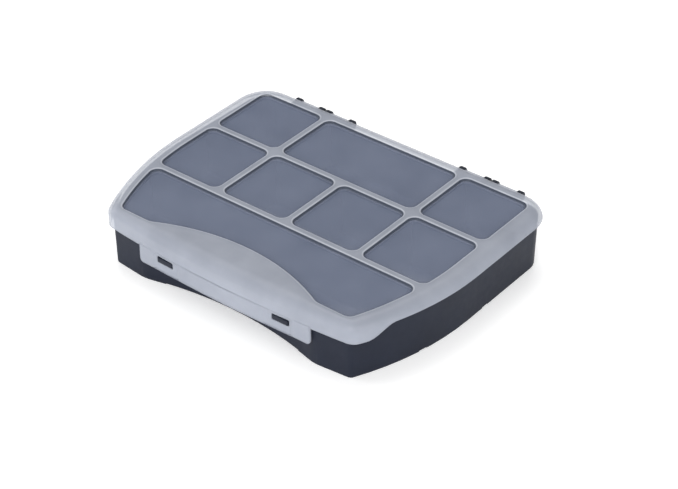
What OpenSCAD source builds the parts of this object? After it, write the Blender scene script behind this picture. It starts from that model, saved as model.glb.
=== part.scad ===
// Flat parts organizer: a black tray with eight fixed compartments, and a
// translucent lid that swings on a snap hinge at the rear and latches at the front.
// Origin: middle of the underside. +X right, +Y to the hinge, +Z up. Millimetres.

/* [Overall] */
// Width over the lid
lid_w = 250; // [240:1:270]
// Depth over the lid, from the middle of the front to the rear skirt
lid_d = 189; // [186:1:194]
// Height over the ridges of the lid
height = 43; // [40:1:50]
// Depth over the lid and the hinge ears
total_d = 196; // [194:1:202]

/* [Compartments] */
// Distance between the short dividers
pitch_x = 57; // [55:0.5:58]
// Front face of the lid to the divider in front of the middle row
front_row_d = 63; // [60:1:66]
// Distance between the two long dividers
middle_row_d = 60; // [56:0.5:62]

/* [Tray] */
// Gap between the lid's side and the tray's side wall
tray_inset = 5.2; // [4.8:0.1:6]
// Thickness of the outer wall
wall_t = 1.8; // [1.4:0.1:2.2]
// Thickness of the floor
floor_t = 1.6; // [1.2:0.1:2]
// Thickness of a divider
divider_t = 1.6; // [1.2:0.1:1.8]
// Height of the rails under the floor
foot_h = 0.6; // [0.4:0.1:1]
// Depth of the finger recess in the middle of the front wall
recess_d = 12.4; // [10:0.1:13]

/* [Lid] */
// Thickness of the sheet
sheet_t = 1.5; // [1.2:0.1:1.6]
// Width of a ridge
ridge_w = 4.8; // [4.6:0.1:5.4]
// Depth of the panels below the ridges
panel_drop = 1.9; // [1.6:0.1:2.2]
// Width of the channel inside a ridge
channel_w = 2.4; // [2.2:0.1:2.4]
// Depth of the skirt at the sides and the rear
skirt_d = 6.2; // [6:0.1:6.6]
// Depth of the skirt at the front
front_skirt_d = 14.6; // [14:0.1:15]

/* [Latch] */
// Width of the flap
flap_w = 140; // [132:1:144]
// Lower edge of the flap below the top of the lid
flap_d = 27.4; // [26:0.1:28]
// Middle of a latch window from the centre line
window_x = 47.3; // [45:0.1:49]
// Width of a latch window
window_w = 13.4; // [12:0.1:14]
// Height of a latch window
window_h = 4.6; // [4:0.1:5]
// How far a tab reaches into its window
tab_bite = 1.2; // [0.8:0.1:1.3]

/* [Hinge] */
// Height of the pivot
pivot_z = 33.4; // [33:0.1:33.6]
// Radius of an ear and of the arm's barrel
ear_r = 3.8; // [3.4:0.1:3.8]
// Thickness of an ear
ear_t = 4; // [3:0.1:4]
// Radius of a pin
pin_r = 1.6; // [1.4:0.1:1.8]
// Radial clearance of a pin in its ear
pin_play = 0.05; // [0.02:0.01:0.08]

/* [Hidden] */
$fn = 64;

black_pp = [0.14, 0.15, 0.17];
frosted_pp = [0.72, 0.74, 0.78];
clear_pp = [0.46, 0.50, 0.57];

// Anything larger than the whole object, for cutting regions
far = 400;
gap = 0.3;

// Main planes
half_w = lid_w / 2;
front_y = -total_d / 2;
rear_y = front_y + lid_d;
front_long_y = front_y + front_row_d;
rear_long_y = front_long_y + middle_row_d;
pivot_y = total_d / 2 - ear_r;
floor_top = foot_h + floor_t;
panel_top = height - panel_drop;
panel_bottom = panel_top - sheet_t;
channel_top = height - sheet_t;
// The outer wall ends under the lid's rounded shoulder, which is closer over its front
// and its rear corners, and the dividers end inside the ridges
wall_top = height - 4.3;
low_wall_top = height - 6;
divider_top = channel_top - gap;

// Where the sides stop being straight and start to close in towards the front
bend_y = front_y + 99.5;
// Radius of the bowed front face
front_r = 872;
lid_side_r = 191;
lid_front_corner_r = 9;
lid_rear_corner_r = 25;

tray_half_w = half_w - tray_inset;
tray_rear_y = rear_y - tray_inset;
tray_front_y = front_y + 2.6;
tray_side_r = 196;
tray_front_corner_r = 4.5;
tray_rear_corner_r = 14.5;
// Concave middle of the front wall, and the soft shoulder on each side of it
recess_r = 256;
recess_shoulder_r = 30;

// Border of the recessed panels
field_half_w = half_w - 13.9;
field_rear_y = rear_y - 12;
field_front_y = front_y + 11.7;
field_side_r = 205;
field_bend_y = bend_y - 3.5;
field_corner_r = 6;
// Raised shield in the middle of the front, bounded by one arc
shield_r = 147;
shield_top_y = front_y + 28.3;

// Steps of the rounded shoulder of the lid: depth below the top, and inset
shoulder = [[skirt_d, 0], [3.4, 1.7], [1.2, 4.6], [0, 9.7]];

// Latch
flap_top = height - 13;
window_top = height - 16;
tab_fit = 0.45;
tab_web = 2;
gusset_y = 3.6;

// Middle planes of the ears, from the centre line outwards
ear_xs = [46.8, 67.0, 73.3, 93.4];
// Middle planes of the arms, left to right, each between two ears
arm_xs = [
    -(ear_xs[2] + ear_xs[3]) / 2, -(ear_xs[0] + ear_xs[1]) / 2,
    (ear_xs[0] + ear_xs[1]) / 2, (ear_xs[2] + ear_xs[3]) / 2
];
all_ear_xs = [for (i = [0:7]) i < 4 ? -ear_xs[3 - i] : ear_xs[i - 4]];
ear_root_d = 9;
// Height of the ears under the rear skirt, and where that plane meets their round end
ear_top = height - skirt_d - 0.5;
ear_slope = asin((ear_top - pivot_z) / ear_r);
barrel_r = 2.6;
arm_fit = 0.3;
arm_root_h = 2.2;
pin_l = 3.4;

// Where the stretches of the tray's wall meet
corner_y = front_y + 20;
corner_x = half_w - 26;
rear_corner_y = rear_y - 26;
// How far the upper edge of a divider stays clear of the wall
crest_inset = 3.7;

// Rails under the floor
rail_inset = 0.5;
rail_w = 2.4;
front_rail_x = 80;
front_rail_l = 50;
rear_rail_x = 55;
rear_rail_l = 80;
notch_w = 6;
notch_ys = [front_y + 58, front_y + 118];

// Where the lower edge of the front skirt starts and ends its rise
skirt_s0 = front_y + 14.6;
skirt_s1 = front_y + 32.8;

function arc(c, r, a0, a1, n) =
    [for (i = [0:n]) c + r * [cos(a0 + (a1 - a0) * i / n), sin(a0 + (a1 - a0) * i / n)]];

function angle_to(a, b) = atan2(b.y - a.y, b.x - a.x);

// Where a circle of radius ra about a crosses one of radius rb about b, left of the line a to b
function crossing(a, ra, b, rb) =
    let (d = norm(b - a), u = (b - a) / d, t = (d * d + ra * ra - rb * rb) / (2 * d))
    a + t * u + sqrt(ra * ra - t * t) * [-u.y, u.x];

function both_halves(right) =
    concat(right, [for (i = [len(right) - 1:-1:0]) [-right[i].x, right[i].y]]);

// Closed outline with a bowed front, curved sides and round corners, taken in by inset
function bowed_outline(half, front, rear, bend, side_r, corner_f, corner_r, inset) =
    let (
        front_c = [0, front + front_r],
        side_c = [half - side_r, bend],
        // a deep inset needs a rounder corner, or the outline would cross itself
        round_f = max(corner_f, inset + 0.3),
        corner_c = crossing(front_c, front_r - round_f, side_c, side_r - round_f),
        rear_c = [half - corner_r, rear - corner_r]
    )
    both_halves(concat(
        arc(front_c, front_r - inset, -90 + 0.4, angle_to(front_c, corner_c), 4),
        arc(corner_c, round_f - inset, angle_to(front_c, corner_c), angle_to(side_c, corner_c), 5),
        arc(side_c, side_r - inset, angle_to(side_c, corner_c), 0, 8),
        arc(rear_c, corner_r - inset, 0, 90, 8)
    ));

function lid_outline(inset) =
    bowed_outline(half_w, front_y, rear_y, bend_y, lid_side_r,
        lid_front_corner_r, lid_rear_corner_r, inset);

// Outline of the tray: like the lid's, with the concave finger recess in its front
function tray_outline(inset) =
    let (
        front_c = [0, tray_front_y + front_r],
        side_c = [tray_half_w - tray_side_r, bend_y],
        recess_c = [0, tray_front_y + recess_d - recess_r],
        corner_c = crossing(front_c, front_r - tray_front_corner_r,
            side_c, tray_side_r - tray_front_corner_r),
        shoulder_c = crossing(front_c, front_r - recess_shoulder_r,
            recess_c, recess_r + recess_shoulder_r),
        rear_c = [tray_half_w - tray_rear_corner_r, tray_rear_y - tray_rear_corner_r]
    )
    both_halves(concat(
        arc(recess_c, recess_r + inset, 89, angle_to(recess_c, shoulder_c), 7),
        arc(shoulder_c, recess_shoulder_r - inset, angle_to(recess_c, shoulder_c) - 180,
            angle_to(front_c, shoulder_c), 5),
        arc(corner_c, tray_front_corner_r - inset, angle_to(front_c, corner_c),
            angle_to(side_c, corner_c), 4),
        arc(side_c, tray_side_r - inset, angle_to(side_c, corner_c), 0, 8),
        arc(rear_c, tray_rear_corner_r - inset, 0, 90, 8)
    ));

// Outline of the area that holds the panels, with a straight front
function field_outline(inset) =
    let (
        side_c = [field_half_w - field_side_r, field_bend_y],
        corner_y = field_front_y + field_corner_r,
        corner_dx = sqrt(pow(field_side_r - field_corner_r, 2) - pow(corner_y - field_bend_y, 2)),
        corner_c = [side_c.x + corner_dx, corner_y],
        rear_c = [field_half_w - field_corner_r, field_rear_y - field_corner_r]
    )
    both_halves(concat(
        arc(corner_c, field_corner_r - inset, -90, angle_to(side_c, corner_c), 5),
        arc(side_c, field_side_r - inset, angle_to(side_c, corner_c), 0, 8),
        arc(rear_c, field_corner_r - inset, 0, 90, 5)
    ));

module field_area(inset) {
    difference() {
        polygon(field_outline(inset));
        translate([0, shield_top_y - shield_r]) circle(r = shield_r + inset, $fn = 128);
    }
}

// Plan of the tray's outer wall
module wall_ring() {
    difference() {
        polygon(tray_outline(0));
        polygon(tray_outline(wall_t));
    }
}

// Strips along the dividers, w wide: long ones across, short ones between them
module long_strip(y, w) {
    translate([-far / 2, y - w / 2]) square([far, w]);
}

module short_strip(x, y0, y1, w) {
    translate([x - w / 2, y0]) square([w, y1 - y0]);
}

module all_strips(w) {
    long_strip(front_long_y, w);
    long_strip(rear_long_y, w);
    for (x = [-pitch_x, pitch_x]) short_strip(x, rear_long_y, far / 2, w);
    for (x = [-pitch_x, 0, pitch_x]) short_strip(x, front_long_y, rear_long_y, w);
}

// Prism along X of length l, from a side view drawn as [y, z]
module side_profile(l) {
    multmatrix([[0, 0, 1, 0], [1, 0, 0, 0], [0, 1, 0, 0], [0, 0, 0, 1]])
        linear_extrude(l) children();
}

// Solid skinned over outlines of equal length, each at its own height
module loft(rings, zs) {
    n = len(rings[0]);
    last = len(rings) - 1;
    points = [for (k = [0:last]) for (p = rings[k]) [p.x, p.y, zs[k]]];
    sides = [for (k = [0:last - 1]) for (i = [0:n - 1])
        [k * n + i, (k + 1) * n + i, (k + 1) * n + (i + 1) % n, k * n + (i + 1) % n]];
    bottom = [for (i = [0:n - 1]) i];
    top = [for (i = [n - 1:-1:0]) last * n + i];
    polyhedron(points = points, faces = concat([bottom, top], sides), convexity = 4);
}

module tray_floor() {
    color(black_pp) translate([0, 0, foot_h]) linear_extrude(floor_t) polygon(tray_outline(0));
}

// The four stretches of the outer wall stand on the floor and share its edge
module tray_wall(top = wall_top) {
    color(black_pp) translate([0, 0, floor_top]) linear_extrude(top - floor_top)
        intersection() {
            wall_ring();
            children();
        }
}

module tray_wall_front() {
    tray_wall(low_wall_top) translate([-far / 2, corner_y - far]) square([far, far]);
}

module tray_wall_rear() {
    tray_wall() translate([-corner_x, 0]) square([2 * corner_x, far]);
}

module tray_wall_side(side) {
    tray_wall() translate([side > 0 ? 0 : -far, corner_y])
        square([far, rear_corner_y - corner_y]);
    tray_wall(low_wall_top) difference() {
        translate([side > 0 ? 0 : -far, rear_corner_y]) square([far, far]);
        translate([-corner_x, 0]) square([2 * corner_x, far]);
    }
}

module divider() {
    color(black_pp) {
        translate([0, 0, floor_top]) linear_extrude(wall_top - floor_top) intersection() {
            polygon(tray_outline(wall_t));
            children();
        }
        translate([0, 0, wall_top]) linear_extrude(divider_top - wall_top) intersection() {
            polygon(tray_outline(wall_t + crest_inset));
            children();
        }
    }
}

module long_divider(y) {
    divider() long_strip(y, divider_t);
}

module rear_divider(x) {
    divider() short_strip(x, rear_long_y + divider_t / 2, far / 2, divider_t);
}

module middle_divider(x) {
    divider() short_strip(x, front_long_y + divider_t / 2, rear_long_y - divider_t / 2, divider_t);
}

// Low rails under the rim of the floor, broken by short notches
module foot_rail() {
    color(black_pp) linear_extrude(foot_h) intersection() {
        difference() {
            polygon(tray_outline(rail_inset));
            polygon(tray_outline(rail_inset + rail_w));
        }
        children();
    }
}

module foot_rail_front() {
    foot_rail() for (side = [-1, 1])
        translate([side * front_rail_x - front_rail_l / 2, corner_y - far])
            square([front_rail_l, far]);
}

module foot_rail_rear() {
    foot_rail() for (side = [-1, 1])
        translate([side * rear_rail_x - rear_rail_l / 2, 0]) square([rear_rail_l, far]);
}

module foot_rail_side(side) {
    foot_rail() difference() {
        translate([side > 0 ? 0 : -far, corner_y]) square([far, far]);
        translate([-corner_x, 0]) square([2 * corner_x, far]);
        for (y = notch_ys) translate([-far, y - notch_w / 2]) square([2 * far, notch_w]);
    }
}

function front_face_y(x) = front_y + front_r - sqrt(front_r * front_r - x * x);

// Hook on the front wall that fills a window of the flap, on two gussets
module latch_tab(side) {
    x = side * window_x;
    face_y = front_face_y(window_x) + sheet_t - tab_bite;
    tab_w = window_w - 2 * tab_fit;
    tab_z = window_top - window_h + tab_fit;
    tab_h = window_h - 2 * tab_fit;
    color(black_pp) difference() {
        translate([x - tab_w / 2, face_y, 0]) union() {
            translate([0, 0, tab_z]) cube([tab_w, 20, tab_h]);
            for (dx = [0, tab_w - tab_web]) translate([dx, 0, 0]) side_profile(tab_web)
                polygon([[gusset_y, tab_z], [20, tab_z], [20, tab_z - 12]]);
        }
        translate([0, 0, -1]) linear_extrude(height) polygon(tray_outline(0));
    }
}

// Ear of the hinge: a plate that leaves the rear wall and ends round about the pivot
module hinge_ear(x) {
    root_z = pivot_z - ear_root_d;
    color(black_pp) translate([x - ear_t / 2, 0, 0]) difference() {
        union() {
            side_profile(ear_t) polygon([
                [tray_rear_y, root_z], [pivot_y + ear_r * cos(-50), pivot_z + ear_r * sin(-50)],
                [pivot_y, pivot_z], [pivot_y - ear_r * cos(ear_slope), ear_top],
                [tray_rear_y, ear_top]
            ]);
            translate([0, pivot_y, pivot_z]) rotate([0, 90, 0]) cylinder(h = ear_t, r = ear_r);
        }
        translate([-1, pivot_y, pivot_z]) rotate([0, 90, 0])
            cylinder(h = ear_t + 2, r = pin_r + pin_play);
    }
}

// Outer skin of the lid down to the side skirt, less the same skin taken in by the sheet
module lid_shell() {
    zs = [for (s = shoulder) height - s[0]];
    difference() {
        loft([for (s = shoulder) lid_outline(s[1])], zs);
        loft([for (s = shoulder) lid_outline(s[1] + sheet_t)],
            [for (i = [0:len(zs) - 1]) i == 0 ? zs[i] - 1 : zs[i] - sheet_t]);
    }
}

module lid_ring(z0, z1) {
    translate([0, 0, z0]) linear_extrude(z1 - z0) difference() {
        polygon(lid_outline(0));
        polygon(lid_outline(sheet_t));
    }
}

// The deep front skirt, whose lower edge rises in an S towards the side
module front_skirt() {
    z0 = height - front_skirt_d;
    z1 = height - skirt_d;
    steps = 8;
    rise = [for (i = [0:steps]) [
        skirt_s0 + (skirt_s1 - skirt_s0) * i / steps,
        z0 + (z1 - z0) * (1 - cos(180 * i / steps)) / 2
    ]];
    intersection() {
        lid_ring(z0, z1);
        translate([-far / 2, 0, 0]) side_profile(far)
            polygon(concat([[front_y - 1, z1], [front_y - 1, z0]], rise));
    }
}

module lid_rim() {
    color(frosted_pp) difference() {
        union() {
            difference() {
                lid_shell();
                translate([0, 0, channel_top - 5]) linear_extrude(far) field_area(0);
            }
            translate([0, 0, panel_bottom]) linear_extrude(height - panel_bottom) difference() {
                field_area(-(ridge_w - channel_w) / 2);
                field_area(0);
            }
            front_skirt();
        }
        // the ridges' channels run on into the hollow of the rim
        translate([0, 0, panel_bottom - 1]) linear_extrude(channel_top - panel_bottom + 1)
            intersection() {
                all_strips(channel_w);
                polygon(field_outline(-4));
            }
        translate([-flap_w / 2 - gap, front_y - 1, 0])
            cube([flap_w + 2 * gap, 20, flap_top + gap]);
    }
}

// A ridge is an inverted channel that covers the top of a divider
module ridge() {
    color(frosted_pp) {
        translate([0, 0, channel_top]) linear_extrude(sheet_t) intersection() {
            field_area(0);
            children();
        }
        translate([0, 0, panel_bottom]) linear_extrude(channel_top - panel_bottom)
            difference() {
                intersection() {
                    field_area(0);
                    children();
                }
                all_strips(channel_w);
            }
    }
}

module long_ridge(y) {
    ridge() long_strip(y, ridge_w);
}

module rear_ridge(x) {
    ridge() short_strip(x, rear_long_y + ridge_w / 2, far / 2, ridge_w);
}

module middle_ridge(x) {
    ridge() short_strip(x, front_long_y + ridge_w / 2, rear_long_y - ridge_w / 2, ridge_w);
}

// Recessed panel over one compartment
module panel(x0, x1, y0, y1) {
    color(clear_pp) translate([0, 0, panel_bottom]) linear_extrude(sheet_t) intersection() {
        field_area(0);
        translate([x0 + ridge_w / 2, y0 + ridge_w / 2])
            square([x1 - x0 - ridge_w, y1 - y0 - ridge_w]);
    }
}

module rear_panel(x0, x1) {
    panel(x0, x1, rear_long_y, far / 2);
}

module middle_panel(x0, x1) {
    panel(x0, x1, front_long_y, rear_long_y);
}

// Arm of the lid: a tongue from the rear skirt to a barrel with a stub pin at each end
module hinge_arm(x) {
    arm_w = ear_xs[1] - ear_xs[0] - ear_t - 2 * arm_fit;
    pin_w = arm_w + 2 * pin_l;
    root_z = height - skirt_d;
    lean = (shoulder[1].y - shoulder[0].y) / (shoulder[0].x - shoulder[1].x);
    color(frosted_pp) translate([x, 0, 0]) {
        translate([-arm_w / 2, 0, 0]) side_profile(arm_w) polygon([
            [rear_y, root_z], [rear_y - arm_root_h * lean, root_z + arm_root_h],
            [pivot_y, pivot_z + barrel_r], [pivot_y + barrel_r, pivot_z],
            [pivot_y, pivot_z - barrel_r], [pivot_y - barrel_r, pivot_z]
        ]);
        translate([-arm_w / 2, pivot_y, pivot_z]) rotate([0, 90, 0])
            cylinder(h = arm_w, r = barrel_r);
        translate([-pin_w / 2, pivot_y, pivot_z]) rotate([0, 90, 0])
            cylinder(h = pin_w, r = pin_r);
    }
}

// Flap: the lower middle of the front face, with a window for each tab
module latch_flap() {
    flap_bottom = height - flap_d;
    corner = 3;
    color(frosted_pp) difference() {
        intersection() {
            lid_ring(flap_bottom, flap_top);
            translate([0, front_y + 20, 0]) rotate([90, 0, 0]) linear_extrude(21) union() {
                translate([-flap_w / 2, flap_bottom + corner])
                    square([flap_w, flap_top - flap_bottom - corner]);
                translate([-flap_w / 2 + corner, flap_bottom]) square([flap_w - 2 * corner, corner]);
                for (side = [-1, 1])
                    translate([side * (flap_w / 2 - corner), flap_bottom + corner]) circle(corner);
            }
        }
        for (side = [-1, 1])
            translate([side * window_x - window_w / 2, front_y - 1, window_top - window_h])
            cube([window_w, 12, window_h]);
    }
}

tray_floor();
tray_wall_front();
tray_wall_rear();
tray_wall_side(-1);  // tray_wall_left
tray_wall_side(1);  // tray_wall_right
long_divider(rear_long_y);  // rear_long_divider
long_divider(front_long_y);  // front_long_divider
rear_divider(-pitch_x);  // rear_divider_left
rear_divider(pitch_x);  // rear_divider_right
middle_divider(-pitch_x);  // middle_divider_left
middle_divider(0);  // middle_divider_centre
middle_divider(pitch_x);  // middle_divider_right
foot_rail_front();
foot_rail_rear();
foot_rail_side(-1);  // foot_rail_left
foot_rail_side(1);  // foot_rail_right
latch_tab(-1);  // latch_tab_left
latch_tab(1);  // latch_tab_right
for (i = [1:8]) hinge_ear(all_ear_xs[i - 1]);
lid_rim();
long_ridge(rear_long_y);  // rear_long_ridge
long_ridge(front_long_y);  // front_long_ridge
rear_ridge(-pitch_x);  // rear_ridge_left
rear_ridge(pitch_x);  // rear_ridge_right
middle_ridge(-pitch_x);  // middle_ridge_left
middle_ridge(0);  // middle_ridge_centre
middle_ridge(pitch_x);  // middle_ridge_right
rear_panel(-far / 2, -pitch_x);  // panel_rear_left
rear_panel(-pitch_x, pitch_x);  // panel_rear_centre
rear_panel(pitch_x, far / 2);  // panel_rear_right
middle_panel(-far / 2, -pitch_x);  // panel_middle_1
middle_panel(-pitch_x, 0);  // panel_middle_2
middle_panel(0, pitch_x);  // panel_middle_3
middle_panel(pitch_x, far / 2);  // panel_middle_4
panel(-far / 2, far / 2, -far / 2, front_long_y);  // panel_front
for (i = [1:4]) hinge_arm(arm_xs[i - 1]);
latch_flap();
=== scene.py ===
"""Looks of a flat parts organizer: a black tray under a translucent hinged lid.

Lengths in the classes are millimetres in the part's own frame (origin in the middle of the
underside, +X right, +Y to the hinge, +Z up). Meshes are made in metres.
"""

from __future__ import annotations

import logging
import math
from collections.abc import Callable, Iterable, Sequence
from dataclasses import dataclass, field
from enum import Enum

import bmesh
import bpy
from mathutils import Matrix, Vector
from mathutils.geometry import delaunay_2d_cdt

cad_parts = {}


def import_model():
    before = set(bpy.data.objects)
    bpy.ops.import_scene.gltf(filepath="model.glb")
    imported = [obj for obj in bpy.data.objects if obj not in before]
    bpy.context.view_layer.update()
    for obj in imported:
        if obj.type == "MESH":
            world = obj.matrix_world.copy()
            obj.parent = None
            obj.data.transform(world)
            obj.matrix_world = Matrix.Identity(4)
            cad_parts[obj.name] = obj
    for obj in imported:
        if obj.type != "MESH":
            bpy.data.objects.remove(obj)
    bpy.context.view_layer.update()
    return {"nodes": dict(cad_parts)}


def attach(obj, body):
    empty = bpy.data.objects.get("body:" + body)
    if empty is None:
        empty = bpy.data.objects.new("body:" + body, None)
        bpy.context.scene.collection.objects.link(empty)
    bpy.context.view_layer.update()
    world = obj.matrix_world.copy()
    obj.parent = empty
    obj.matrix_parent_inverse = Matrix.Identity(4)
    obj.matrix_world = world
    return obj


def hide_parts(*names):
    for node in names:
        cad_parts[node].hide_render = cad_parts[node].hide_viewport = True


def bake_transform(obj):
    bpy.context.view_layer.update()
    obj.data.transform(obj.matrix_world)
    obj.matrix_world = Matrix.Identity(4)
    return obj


LOG = logging.getLogger("organizer")
MM = 0.001
WELD = 0.004
Corner = tuple[float, float, float]
Colour = tuple[float, float, float]
Place = Callable[[float, float, float], Vector]


# ---------------------------------------------------------------- plan curves


def arc(centre: Vector, radius: float, start: float, end: float, steps: int) -> list[Vector]:
    """Points along an arc.

    Args:
        centre: Middle of the circle.
        radius: Its radius.
        start: First bearing in degrees.
        end: Last bearing in degrees.
        steps: Number of chords.

    Returns:
        The points, both ends included.
    """
    turns = [math.radians(start + (end - start) * i / steps) for i in range(steps + 1)]
    return [centre + radius * Vector((math.cos(a), math.sin(a))) for a in turns]


def bearing(a: Vector, b: Vector) -> float:
    """Direction from a to b in degrees."""
    return math.degrees(math.atan2(b.y - a.y, b.x - a.x))


def crossing(a: Vector, radius_a: float, b: Vector, radius_b: float) -> Vector:
    """Where two circles cross, on the left of the line from a to b.

    Args:
        a: Middle of the first circle.
        radius_a: Its radius.
        b: Middle of the second circle.
        radius_b: Its radius.

    Returns:
        The crossing point.
    """
    apart = (b - a).length
    along = (b - a) / apart
    t = (apart * apart + radius_a * radius_a - radius_b * radius_b) / (2 * apart)
    return a + t * along + math.sqrt(radius_a * radius_a - t * t) * Vector((-along.y, along.x))


def quarter(radius: float, steps: int) -> list[tuple[float, float]]:
    """How far the two sides of a round edge are left behind, along a quarter turn.

    Args:
        radius: Radius of the edge.
        steps: Number of chords.

    Returns:
        Pairs from (radius, 0) to (0, radius).
    """
    turns = [math.radians(90 * i / steps) for i in range(steps + 1)]
    return [(radius * (1 - math.sin(t)), radius * (1 - math.cos(t))) for t in turns]


def smooth_step(low: float, high: float, value: float) -> float:
    """0 before low, 1 after high, with an even S between them."""
    t = min(max((value - low) / (high - low), 0.0), 1.0)
    return t * t * (3 - 2 * t)


@dataclass(frozen=True)
class Outline:
    """Closed curve in a plane, counter-clockwise."""

    points: tuple[Vector, ...]

    @staticmethod
    def mirrored(right: Sequence[Vector]) -> Outline:
        """Outline from its right half, given from the front to the rear."""
        left = [Vector((-p.x, p.y)) for p in reversed(right) if abs(p.x) > 1e-6]
        return Outline(tuple(right) + tuple(left))

    @staticmethod
    def rounded(corners: Sequence[Corner], steps: int = 8) -> Outline:
        """Outline through corners, each with its own radius; radius 0 keeps the point.

        Args:
            corners: (u, v, radius) counter-clockwise.
            steps: Chords of each rounded corner.

        Returns:
            The rounded outline.
        """
        points: list[Vector] = []
        for i, (u, v, radius) in enumerate(corners):
            here = Vector((u, v))
            if radius <= 0:
                points.append(here)
                continue
            back = (Vector(corners[i - 1][:2]) - here).normalized()
            ahead = (Vector(corners[(i + 1) % len(corners)][:2]) - here).normalized()
            half = back.angle(ahead) / 2
            centre = here + (back + ahead).normalized() * radius / math.sin(half)
            start = bearing(centre, here + back * radius / math.tan(half))
            end = bearing(centre, here + ahead * radius / math.tan(half))
            sweep = (end - start + 180) % 360 - 180
            points += arc(centre, radius, start, start + sweep, steps)
        return Outline(tuple(points))

    @staticmethod
    def box(
        low: tuple[float, float],
        high: tuple[float, float],
        radii: tuple[float, float],
        steps: int = 8,
    ) -> Outline:
        """A rectangle.

        Args:
            low: Its lowest corner.
            high: Its highest corner.
            radii: Radius of its two lower corners, and of its two upper ones.
            steps: Chords of each rounded corner.

        Returns:
            The rectangle.
        """
        (u0, v0), (u1, v1), (lower, upper) = low, high, radii
        corners = [(u0, v0, lower), (u1, v0, lower), (u1, v1, upper), (u0, v1, upper)]
        return Outline.rounded(corners, steps)

    @staticmethod
    def circle(centre: tuple[float, float], radius: float, steps: int = 32) -> Outline:
        """A full circle."""
        return Outline(tuple(arc(Vector(centre), radius, 0, 360, steps)[:-1]))

    def normals(self) -> list[Vector]:
        """For each point, how far it moves inward for each unit of inset."""
        result = []
        count = len(self.points)
        for i, point in enumerate(self.points):
            before = (point - self.points[i - 1]).normalized()
            after = (self.points[(i + 1) % count] - point).normalized()
            inward = Vector((-before.y - after.y, before.x + after.x)).normalized()
            share = inward.dot(Vector((-before.y, before.x)))
            result.append(inward / max(share, 0.5))
        return result

    def inset(self, depth: float | Sequence[float]) -> list[Vector]:
        """Points moved inward.

        Args:
            depth: One distance, or one for each point; negative goes outward.

        Returns:
            As many points as the outline has.
        """
        depths = [depth] * len(self.points) if isinstance(depth, (int, float)) else depth
        pairs = zip(self.points, self.normals(), depths, strict=True)
        return [p + n * d for p, n, d in pairs]

    def distance(self, point: Vector) -> float:
        """Distance from a point to the nearest edge."""
        best = 1e9
        for i, b in enumerate(self.points):
            a = self.points[i - 1]
            edge = b - a
            t = min(max((point - a).dot(edge) / edge.length_squared, 0.0), 1.0)
            best = min(best, (a + t * edge - point).length)
        return best


def is_inside(point: Vector, loop: Sequence[Vector]) -> bool:
    """True if the point lies inside the closed loop."""
    hit = False
    for i, b in enumerate(loop):
        a = loop[i - 1]
        if (a.y > point.y) != (b.y > point.y):
            if point.x < a.x + (point.y - a.y) / (b.y - a.y) * (b.x - a.x):
                hit = not hit
    return hit


# Numbers of the extra materials on the lid's frame and flap: painted shade on the ridges' steep
# walls, a painted highlight along the ridges' top edges, and a see-through seam
RIDGE_WALL_SHADE, RIDGE_EDGE_HIGHLIGHT, SEAM = 1, 2, 3

# ---------------------------------------------------------------- meshes


class Plane(Enum):
    """How (u, v, w) of a mesh lie in the part's frame: w is the direction of thickness."""

    PLAN = "plan"
    SIDE = "side"

    def place(self, u: float, v: float, w: float) -> Vector:
        """The point in the part's frame."""
        return Vector((u, v, w)) if self is Plane.PLAN else Vector((w, u, v))


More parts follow.
